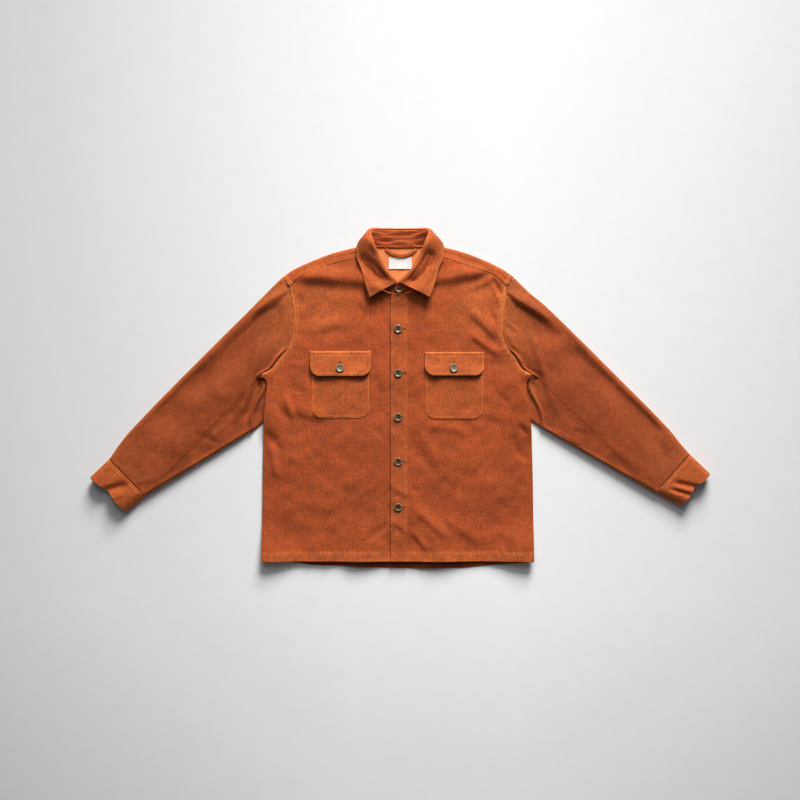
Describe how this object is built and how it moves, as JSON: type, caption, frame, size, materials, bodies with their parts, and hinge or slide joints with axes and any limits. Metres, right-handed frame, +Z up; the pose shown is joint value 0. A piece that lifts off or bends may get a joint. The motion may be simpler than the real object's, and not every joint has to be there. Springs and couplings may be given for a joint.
{
  "type": "overshirt",
  "caption": "Corduroy overshirt laid flat and buttoned, sleeves spread, with a turned-down collar, flapped chest pockets and buttoned cuffs.",
  "frame": {"origin": "centre of the outline on the surface that the overshirt lies on", "axes": "+X to the wearer's left across the spread sleeves, +Y up the body to the collar, +Z up out of the front"},
  "size_m": [1.3726, 0.7586, 0.0392],
  "materials": {
    "corduroy": "cotton corduroy, cut pile in wide even wales, rust orange",
    "horn": "polished horn-look resin, dark mottled brown",
    "label": "woven satin label, plain white, blank"
  },
  "bodies": {
    "root": {"back": "corduroy", "front_right": "corduroy", "front_left": "corduroy", "yoke": "corduroy", "sleeve_right": "corduroy", "sleeve_left": "corduroy", "cuff_right": "corduroy", "cuff_left": "corduroy", "collar_stand": "corduroy", "collar_leaf": "corduroy", "placket": "corduroy", "pocket_right": "corduroy", "flap_right": "corduroy", "pocket_left": "corduroy", "flap_left": "corduroy", "pocket_button_right": "horn", "pocket_button_left": "horn", "button_1": "horn", "button_2": "horn", "button_3": "horn", "button_4": "horn", "button_5": "horn", "button_neck": "horn", "hanger_loop": "corduroy", "label": "label"}
  },
  "joints": []
}
